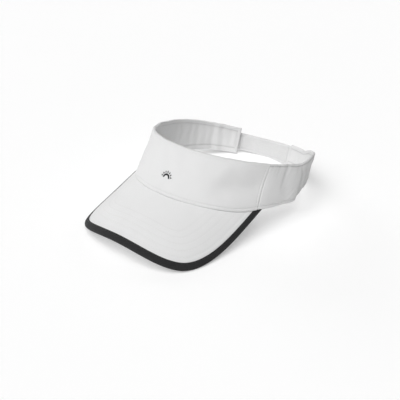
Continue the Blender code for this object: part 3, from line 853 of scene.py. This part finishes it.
def build_rear(side, looks):
    """The left (side 1) or right (side -1) cloth from the side seam back, with its stitching and facing."""
    word = "left" if side > 0 else "right"
    end = LEFT_END if side > 0 else RIGHT_CLOTH_END
    section = hem_section(REAR_FOLD_DEPTH, 3.5, 36, REAR_FOLD_DEPTH, 5.3)
    shares = spaced(float(arc(end) - arc(SIDE_SEAM_FOOT)), 1.25)
    edges = (lambda h: side * side_seam(h), lambda h: side * end + 0 * np.asarray(h))
    points, uv, painted_shade = panel_points(section, shares, *edges, rear_hem, rear_relief)
    panel = sheet(f"{word}_rear_cloth", points, uv, CLOTH, painted_shade)
    dress(panel, looks["twill"], "white_cloth", f"{word}_side_panel", f"{word}_rear_panel")
    flex_with(panel)

    runs = rear_stitching(side, SIDE_SEAM_FOOT + 0.8, end - 0.8, lambda foot, top: foot + FOOT_STITCH)
    runs += rear_stitching(side, SIDE_SEAM_TOP, end - 0.8, lambda foot, top: top - REAR_RIM_STITCH)
    stitching = threads(f"{word}_rear_stitching", runs, looks["thread"])
    flex_with(stitching)

    across = side * np.linspace(65.5, end - 0.6, 150)
    angle, height, share = sheet_grid(across, lambda a: rear_hem(a) + 1.8, lambda a: top_edge(a) - 1.8, 24)
    thinned = ease((np.abs(angle) - 66) / 8) * (0.85 if side > 0 else 1.4)
    wrinkle = 0.15 * ripple(arc(angle) + 0.25 * height, 8.0, (19.0, 12.5, 8.0))
    wrinkle = wrinkle * np.sin(math.pi * share) ** 0.7
    points = wall(angle, height, FACING_DEPTH - thinned + soft_relief(angle, height) - wrinkle)
    # Painted shade under the top hem leg's edge and above the lower hem leg's edge.
    painted_shade = 0.5 * hill(top_edge(angle) - height, 3.4, 1.0) + 0.4 * hill(height - rear_hem(angle), 5.4, 1.0)
    facing = sheet(f"{word}_facing_cloth", points, flat_cloth(angle, height), REAR_FACING, painted_shade)
    dress(facing, looks["facing"], "lining_cloth", f"{word}_rear_sweatband")
    flex_with(facing)


def build_end_binding(looks):
    """The tape that closes the right rear panel's cut end, folded round both faces."""
    outer, inner = -0.15, 2.9
    middle, radius = (outer + inner) / 2, (inner - outer) / 2
    legs = (3.4, 3.2, 2.9, 2.6, 2.3, 2.0)
    fold = [(-1.4 + radius * math.sin(t), middle - radius * math.cos(t)) for t in np.linspace(0, math.pi, 11)]
    section = np.array([(-leg, outer) for leg in legs] + fold + [(-leg, inner) for leg in legs[::-1]])
    share = np.linspace(0, 1, 40)[:, None]
    beyond, depth = section[:, 0][None, :], section[:, 1][None, :]
    angle = angle_at(-(arc(RIGHT_END) + beyond)) + 0 * share
    hem, top = rear_hem(np.array(-RIGHT_END)), top_edge(RIGHT_END)
    height = (hem - 0.3) * (1 - share) + (top + 0.3) * share
    puff = 0.12 * ripple(height, 2.0, (7.0, 4.4, 2.9)) * np.where(depth > middle, 1.0, -1.0)
    sink = soft_relief(np.minimum(angle, -140.0), height)
    uv = np.stack([beyond + 0 * height, height + 0 * beyond], -1)
    tape = sheet("right_end_tape", wall(angle, height + 0 * beyond, depth + sink + puff), uv, END_TAPE)
    dress(tape, looks["tape"], "white_cloth", "right_end_binding")
    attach(tape, "right_rear")

    height = np.linspace(hem + 0.5, top - 0.5, 100)
    angle = np.full(100, float(angle_at(-(arc(RIGHT_END) - 2.7))))
    sink = soft_relief(angle, height)
    runs = [
        stitches(*wall_line(angle, height, outer - 0.3 + sink)),
        stitches(*inner_line(angle, height, inner + 0.3 + sink)),
    ]
    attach(threads("right_end_stitching", runs, looks["thread"]), "right_rear")


# ---------- the bill's pieces


def build_bill_cover(name, depth, look, node_name, rows, way):
    """A cover from under the band out into the binding; way is 1 for the upper face, -1 for the lower."""
    first = exit_distance(COVER_INSET, 0.6)
    u = np.linspace(0, 1, 160)[None, :]
    v = np.linspace(0, 1, rows)[:, None, None]
    x, y, out_x, out_y = oval((SIDE_SEAM_FOOT - 2.0) * (1 - 2 * u))
    inner = np.stack([x - out_x * COVER_TUCK, -(y - out_y * COVER_TUCK) - FRONT_REACH], -1)
    outer = outline_point(first + (OUTLINE_LENGTH - 2 * first) * u, np.full(u.shape, COVER_INSET))
    place = inner * (1 - v) + outer * v
    x, forward = place[..., 0], place[..., 1]
    edge = from_edge(x, forward)
    points = bill(x, forward, depth + way * bill_relief(x, forward, edge))
    # Painted shade along the bill's stitch rows.
    painted_shade = 0.06 * sum(hill(edge, row, 0.6) for row in STITCH_ROWS)
    cover = sheet(name, points, place, COVER, painted_shade)
    dress(cover, look, "white_cloth", node_name)
    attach(cover, "crown_and_bill")


def bill_stitching(row, count, depths, pitch=3.0, length=2.3, clearance=1.0, relief=0.0):
    """Stitches along a line at one distance in from the bill's edge, on both faces."""
    start = exit_distance(row, clearance)
    place = outline_point(np.linspace(start, OUTLINE_LENGTH - start, count), np.full(count, row))
    x, forward = place[:, 0], place[:, 1]
    sunk = relief * bill_relief(x, forward, np.full(count, row))
    runs = []
    for face, way in zip(depths, (1.0, -1.0)):
        depth = face + way * sunk
        points = bill(x, forward, depth)
        runs.append(stitches(points, way * (points - bill(x, forward, depth + 1.0)), pitch, length))
    return runs


def build_bill(looks):
    build_bill_cover("bill_top_cloth", TOP_COVER_DEPTH, looks["twill"], "bill_top_cover", 160, 1.0)
    build_bill_cover("bill_under_cloth", UNDER_COVER_DEPTH, looks["twill"], "bill_under_cover", 90, -1.0)
    faces = (TOP_COVER_DEPTH - COVER / 2, UNDER_COVER_DEPTH + COVER / 2)
    runs = [run for row in STITCH_ROWS for run in bill_stitching(row, 900, faces, relief=1.0)]
    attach(threads("bill_stitching", runs, looks["thread"], FINE_THREAD), "crown_and_bill")


def build_binding(looks):
    """The dark tape folded round the bill's edge: two stitched legs and a full, round fold."""
    outer, inner = COVER / 2, 2 * BINDING_ROUND + COVER / 2
    middle = outer + BINDING_ROUND
    legs = np.linspace(BINDING_WIDTH, middle + 0.3, 9)
    belly = np.sin(math.pi * (BINDING_WIDTH - legs) / 9)
    turn = np.linspace(0, math.pi, 15)
    fold_inset = middle - (BINDING_ROUND + BINDING_BULGE * np.sin(turn)) * np.sin(turn)
    fold_depth = middle - (BINDING_ROUND + 0.12) * np.cos(turn)
    inset = np.concatenate([legs, fold_inset, legs[::-1]])[:, None]
    depth = np.concatenate([outer - BINDING_BULGE * belly, fold_depth, inner + 0.2 * belly[::-1]])[:, None]
    starts = np.array([[exit_distance(max(float(place), 0.0), -0.6)] for place in inset[:, 0]])
    at = starts + (OUTLINE_LENGTH - 2 * starts) * np.linspace(0, 1, 320)[None, :]
    inset = inset + 0 * at
    stitch_dip = 0.16 * hill(inset, BINDING_STITCH, 0.5)
    wave = 0.10 * ripple(at, 3.0, (6.1, 4.3, 9.7)) * ease((inset - 3) / 3)
    way = np.where(depth < middle, 1.0, -1.0)
    place = outline_point(at, inset)
    points = bill(place[..., 0], place[..., 1], depth + way * (stitch_dip + wave))
    uv = np.stack([at, np.arange(len(depth))[:, None] * 0.7 + 0 * at], -1)
    tape = sheet("bill_binding_tape", points, uv, BINDING)
    dress(tape, looks["binding"], "black_tape", "bill_binding")
    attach(tape, "crown_and_bill")

    runs = bill_stitching(BINDING_STITCH, 1000, (0.02, inner + 0.25), 2.8, 2.1, clearance=0.0)
    stitching = threads("binding_stitching", runs, looks["dark_thread"], BINDING_THREAD, "black_thread")
    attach(stitching, "crown_and_bill")


# ---------- the closure


def strap_depth(angle):
    """Depth of the strap's middle, which rises off its sewn root to clear the other panel."""
    out = STRAP_DEPTH - STRAP_ROOT_DEPTH
    return STRAP_ROOT_DEPTH + out * ease((angle - STRAP_FREE[0]) / (STRAP_CLEARS_BY - STRAP_FREE[0]))


def strap_top(angle):
    narrowed = ease((angle - STRAP_ROOT[0]) / (STRAP_NARROWS_TO - STRAP_ROOT[0]))
    return STRAP_ROOT_TOP + (STRAP_TOP - STRAP_ROOT_TOP) * narrowed


def strap_wave(angle):
    """The slight waves that the strap and its tapes share."""
    return 0.15 * ripple(arc(angle), 5.0, (19.0, 12.0, 8.0))


def strap_sheet(name, span, columns, look, body, node_name, corner=0.0):
    """One layer of webbing along a span; a corner radius rounds off its far end."""
    u = np.linspace(0, 1, columns)[None, :]
    v = spaced(20.0, 0.9, 3.4)[:, None]
    angle = span[0] + (span[1] - span[0]) * (1 - (1 - u) ** 1.3 if corner else u)
    left = np.minimum(np.radians(span[1] - angle) * HALF_WIDTH, corner)
    cut = corner - np.sqrt(corner**2 - (corner - left) ** 2)
    height = (STRAP_FOOT + cut) * (1 - v) + (strap_top(angle) - cut) * v
    points = wall(angle, height, strap_depth(angle) + strap_wave(angle))
    strap = sheet(name, points, flat_cloth(angle, height), STRAP)
    dress(strap, look, "white_cloth", node_name)
    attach(strap, body)


def tape_patch(name, span, columns, foot, top, depth, thickness, look, body, node_name):
    """A strip of hook or loop tape that follows the strap's waves."""
    across = np.linspace(*span, columns)
    angle, height, _ = sheet_grid(across, lambda a: foot + 0 * a, top, 20)
    points = wall(angle, height, depth(angle) + strap_wave(angle))
    patch = sheet(name, points, flat_cloth(angle, height), thickness)
    dress(patch, look, "hook_tape", node_name)
    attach(patch, body)


def strap_stitches(angle, height, faces):
    """Stitches on the strap's outer face (1) or inner face (-1)."""
    depth = strap_depth(angle) + strap_wave(angle)
    lines = {1: wall_line, -1: inner_line}
    return [stitches(*lines[face](angle, height, depth - face * STRAP_STITCH)) for face in faces]


def build_closure(looks):
    twill = looks["twill"]
    strap_sheet("closure_strap_cloth", STRAP_FREE, 150, twill, "strap", "closure_strap", STRAP_CORNER)
    strap_sheet("strap_root_cloth", STRAP_ROOT, 40, twill, "left_rear", "strap_root")
    tape_patch(
        "hook_tape_pile", HOOK_SPAN, 110, STRAP_FOOT + 2.4, lambda a: strap_top(a) - 2.6,
        lambda a: strap_depth(a) + 0.72, HOOK, looks["hook"], "strap", "hook_patch",
    )
    tape_patch(
        "loop_tape_pile", LOOP_SPAN, 90, STRAP_FOOT + 1.5, lambda a: STRAP_TOP - 1.5 + 0 * a,
        lambda a: LOOP_DEPTH + 0 * a, LOOP, looks["loop"], "right_rear", "loop_patch",
    )

    angle = np.linspace(STRAP_FREE[0] + 0.6, STRAP_FREE[1] - 2.0, 400)
    runs = strap_stitches(angle, STRAP_FOOT + 1.4 + 0 * angle, (1, -1))
    runs += strap_stitches(angle, strap_top(angle) - 1.6, (1, -1))
    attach(threads("strap_stitching", runs, looks["thread"]), "strap")

    margin = 1.8
    inset = margin * 180 / (math.pi * HALF_WIDTH)
    first, last = STRAP_ROOT[0] + inset, STRAP_ROOT[1] - inset
    low, along = STRAP_FOOT + margin, np.linspace(first, last, 120)
    runs = strap_stitches(along, low + 0 * along, (1,))
    runs += strap_stitches(along[::-1], strap_top(along[::-1]) - margin, (1,))
    for end in (first, last):
        height = np.linspace(low, float(strap_top(end)) - margin, 90)
        runs += strap_stitches(np.full(90, end), height, (1,))
    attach(threads("strap_root_stitching", runs, looks["thread"]), "left_rear")


# ---------- the embroidery


def build_embroidery(looks):
    """A half sun in satin stitch: a half ring of radial threads and pointed rays."""
    runs = []

    def on_panel(across, up, lift):
        angle, height = angle_at(across), SUN_HEIGHT + up
        return wall(angle, height, soft_relief(angle, height) - 0.05 - lift)

    def lay(x0, z0, x1, z1):
        start = on_panel(x0, z0, 0.0)
        runs.append((np.stack([start, on_panel(x1, z1, 0.0)], 1), on_panel(x0, z0, 1.0) - start))

    turn = np.linspace(0, math.pi, 64)
    near, far = SUN_RING
    lay(near * -np.cos(turn), near * np.sin(turn), far * -np.cos(turn), far * np.sin(turn))
    near, far = RAY_SPAN
    aside = np.linspace(-0.85, 0.85, 7)
    reach = near + (far - near) * (1 - np.abs(aside) / RAY_HALF_WIDTH)
    for ray in range(SUN_RAYS):
        middle = math.pi * (ray + 0.5) / SUN_RAYS
        cx, cz = -math.cos(middle), math.sin(middle)
        lay(near * cx + aside * cz, near * cz - aside * cx, reach * cx + aside * cz, reach * cz - aside * cx)
    mark = threads("front_embroidery_threads", runs, looks["dark_thread"], SATIN_THREAD, "black_thread")
    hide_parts("front_embroidery")
    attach(mark, "crown_and_bill")


# ---------- stage


def heading(azimuth, elevation):
    """The unit vector that points out from the object, at an azimuth and elevation in degrees."""
    a, e = math.radians(azimuth), math.radians(elevation)
    return Vector((math.sin(a) * math.cos(e), -math.cos(a) * math.cos(e), math.sin(e)))


def add_camera():
    back = heading(CAMERA_AZIMUTH, CAMERA_ELEVATION)
    right = heading(CAMERA_AZIMUTH + 90, 0)
    middle = TIP @ Vector((0, 0, 10.4)) + Vector((0, -0.02, 0.02))
    camera = bpy.data.objects.new("camera", bpy.data.cameras.new("camera"))
    bpy.context.scene.collection.objects.link(camera)
    camera.location = middle + back * CAMERA_DISTANCE
    camera.data.lens = CAMERA_LENS
    camera.data.clip_start = 0.01
    aim = middle - right * AIM_LEFT - back.cross(right) * AIM_DOWN
    camera.rotation_euler = (aim - camera.location).to_track_quat("-Z", "Y").to_euler()
    bpy.context.scene.camera = camera


def add_light(name, azimuth, elevation, softness, strength):
    """A soft, distant light."""
    light = bpy.data.lights.new(name, "SUN")
    light.angle = math.radians(softness)
    light.energy = math.pi * strength
    obj = bpy.data.objects.new(name, light)
    obj.rotation_euler = heading(azimuth, elevation).to_track_quat("Z", "Y").to_euler()
    bpy.context.scene.collection.objects.link(obj)


def add_floor():
    """A pale floor that glows slightly, like a light table, level with the lowest piece."""
    level = min(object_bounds()[0][2], 0.0)
    mesh = bpy.data.meshes.new("floor")
    corners = [(x * 40, y * 40, level) for x, y in ((-1, -1), (1, -1), (1, 1), (-1, 1))]
    mesh.from_pydata(corners, [], [(0, 1, 2, 3)])
    floor = bpy.data.objects.new("floor", mesh)
    bpy.context.scene.collection.objects.link(floor)
    made, _, shader = shader_for("light_table", (0.68, 0.68, 0.68), 0.9)
    shader.inputs["Emission Color"].default_value = (1.0, 1.0, 1.0, 1.0)
    shader.inputs["Emission Strength"].default_value = 0.32
    mesh.materials.append(made)


def add_sky():
    """White light that fades upward; where the sky itself shows, it is as white as the floor."""
    world = bpy.data.worlds.new("studio")
    world.use_nodes = True
    tree = world.node_tree
    parts = node(tree, "ShaderNodeSeparateXYZ")
    tree.links.new(node(tree, "ShaderNodeTexCoord").outputs["Generated"], parts.inputs[0])
    fades = {"From Min": 0.02, "From Max": 0.15, "To Min": 0.85, "To Max": 0.05}
    fade = node(tree, "ShaderNodeMapRange", **fades)
    tree.links.new(parts.outputs[2], fade.inputs[0])
    shown = node(tree, "ShaderNodeMix", B=0.97)
    tree.links.new(node(tree, "ShaderNodeLightPath").outputs["Is Camera Ray"], shown.inputs["Factor"])
    tree.links.new(fade.outputs[0], shown.inputs["A"])
    background = tree.nodes["Background"]
    tree.links.new(shown.outputs[0], background.inputs["Strength"])
    background.inputs["Color"].default_value = (1.0, 1.0, 1.0, 1.0)
    bpy.context.scene.world = world


# ---------- assembly

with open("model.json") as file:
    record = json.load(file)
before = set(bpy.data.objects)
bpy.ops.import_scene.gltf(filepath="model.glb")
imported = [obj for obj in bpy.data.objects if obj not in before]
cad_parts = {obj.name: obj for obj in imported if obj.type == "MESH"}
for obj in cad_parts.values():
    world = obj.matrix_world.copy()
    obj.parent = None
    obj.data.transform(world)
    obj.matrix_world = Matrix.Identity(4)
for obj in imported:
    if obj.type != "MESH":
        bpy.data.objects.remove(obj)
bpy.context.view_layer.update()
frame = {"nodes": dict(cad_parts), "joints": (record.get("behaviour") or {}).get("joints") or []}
TIP = tip_matrix()
looks = {
    "twill": woven("white_twill", (0.72, 0.72, 0.72), 0.9, 0.62, True),
    "facing": woven("facing_weave", (0.72, 0.72, 0.72), 0.92, 0.5, False),
    "tape": woven("end_tape_weave", (0.72, 0.72, 0.72), 0.9, 0.45, False),
    "binding": woven(
        "charcoal_tape_weave", (0.021, 0.021, 0.022), 0.85, 0.7, False,
        sheen=0.06, depth=0.25, tint=0.9, mottle=0.3,
    ),
    "hook": pile_look("hook_pile", (0.74, 0.74, 0.74), 1.1, 0.35),
    "loop": pile_look("loop_pile", (0.72, 0.72, 0.72), 1.6, 0.3),
    "thread": thread_look("white_thread", (0.76, 0.76, 0.76)),
    "dark_thread": thread_look("black_thread_twist", (0.03, 0.03, 0.033)),
}
for slot in frame["nodes"]["bill_board"].material_slots:
    slot.material = plastic_look("board_plastic_skin", (0.62, 0.62, 0.60))
build_front(looks)
build_rear(1, looks)
build_rear(-1, looks)
build_end_binding(looks)
build_bill(looks)
build_binding(looks)
build_closure(looks)
build_embroidery(looks)
add_camera()
add_floor()
for light in LIGHTS:
    add_light(*light)
add_sky()
bpy.context.scene.view_settings.view_transform = "Standard"
